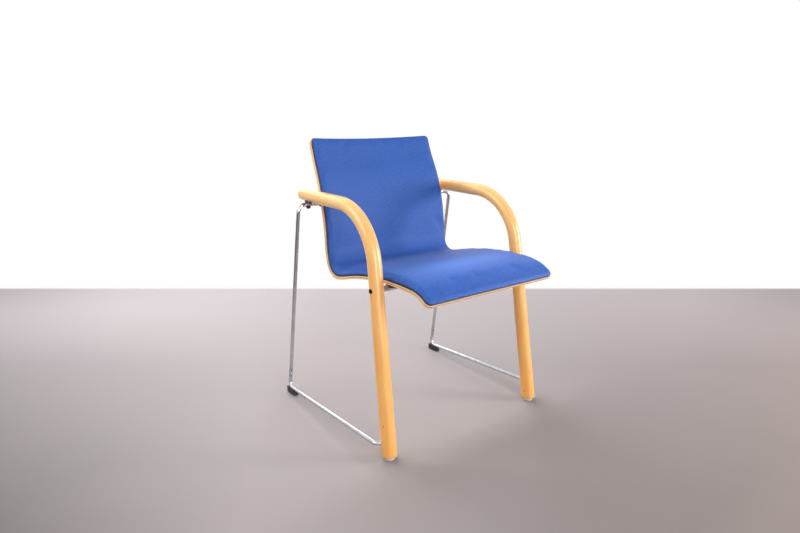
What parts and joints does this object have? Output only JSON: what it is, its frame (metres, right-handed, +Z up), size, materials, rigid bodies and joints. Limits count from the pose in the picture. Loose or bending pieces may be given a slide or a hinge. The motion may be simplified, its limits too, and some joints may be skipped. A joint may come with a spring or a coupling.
{
  "type": "stacking visitor chair",
  "caption": "Stacking visitor armchair: bent wooden arm legs, one chromed wire frame with runners, moulded plywood shell with upholstered seat and back.",
  "frame": {"origin": "on the floor, in the middle of the footprint", "axes": "+Z up, the sitter faces -Y, +X to the sitter's left"},
  "size_m": [0.607, 0.5969, 0.7913],
  "materials": {
    "beech": "clear lacquered steam-bent beech",
    "plywood": "clear lacquered beech plywood, moulded",
    "board": "raw thin plywood",
    "chrome": "polished chrome plating",
    "upholstery": "plain royal blue wool-look cloth",
    "foam": "open-cell polyurethane foam",
    "black_plastic": "moulded black nylon",
    "glide_plastic": "moulded off-white nylon",
    "black_steel": "black oxide screw head",
    "zinc": "zinc plated steel",
    "plug": "darker beech plug, end grain up"
  },
  "bodies": {
    "root": {"arm_leg_left": "beech", "arm_leg_right": "beech", "wire_frame": "chrome", "crossbar": "chrome", "crossbar_inserts": "zinc", "crossbar_bolts": "black_steel", "saddle_left": "black_plastic", "saddle_right": "black_plastic", "seat_screws": "zinc", "seat_tee_nuts": "zinc", "seat_shell": "plywood", "upholstery_board": "board", "foam_pad": "foam", "fabric_cover": "upholstery", "back_clip_left": "black_plastic", "back_clip_right": "black_plastic", "back_screws": "zinc", "back_tee_nuts": "zinc", "arm_spacers": "zinc", "arm_bolts": "zinc", "arm_nuts": "zinc", "stacking_bumpers": "black_plastic", "arm_plugs": "plug", "rear_pad_left": "black_plastic", "rear_pad_right": "black_plastic", "front_glides": "glide_plastic", "glide_nails": "zinc"}
  },
  "joints": []
}
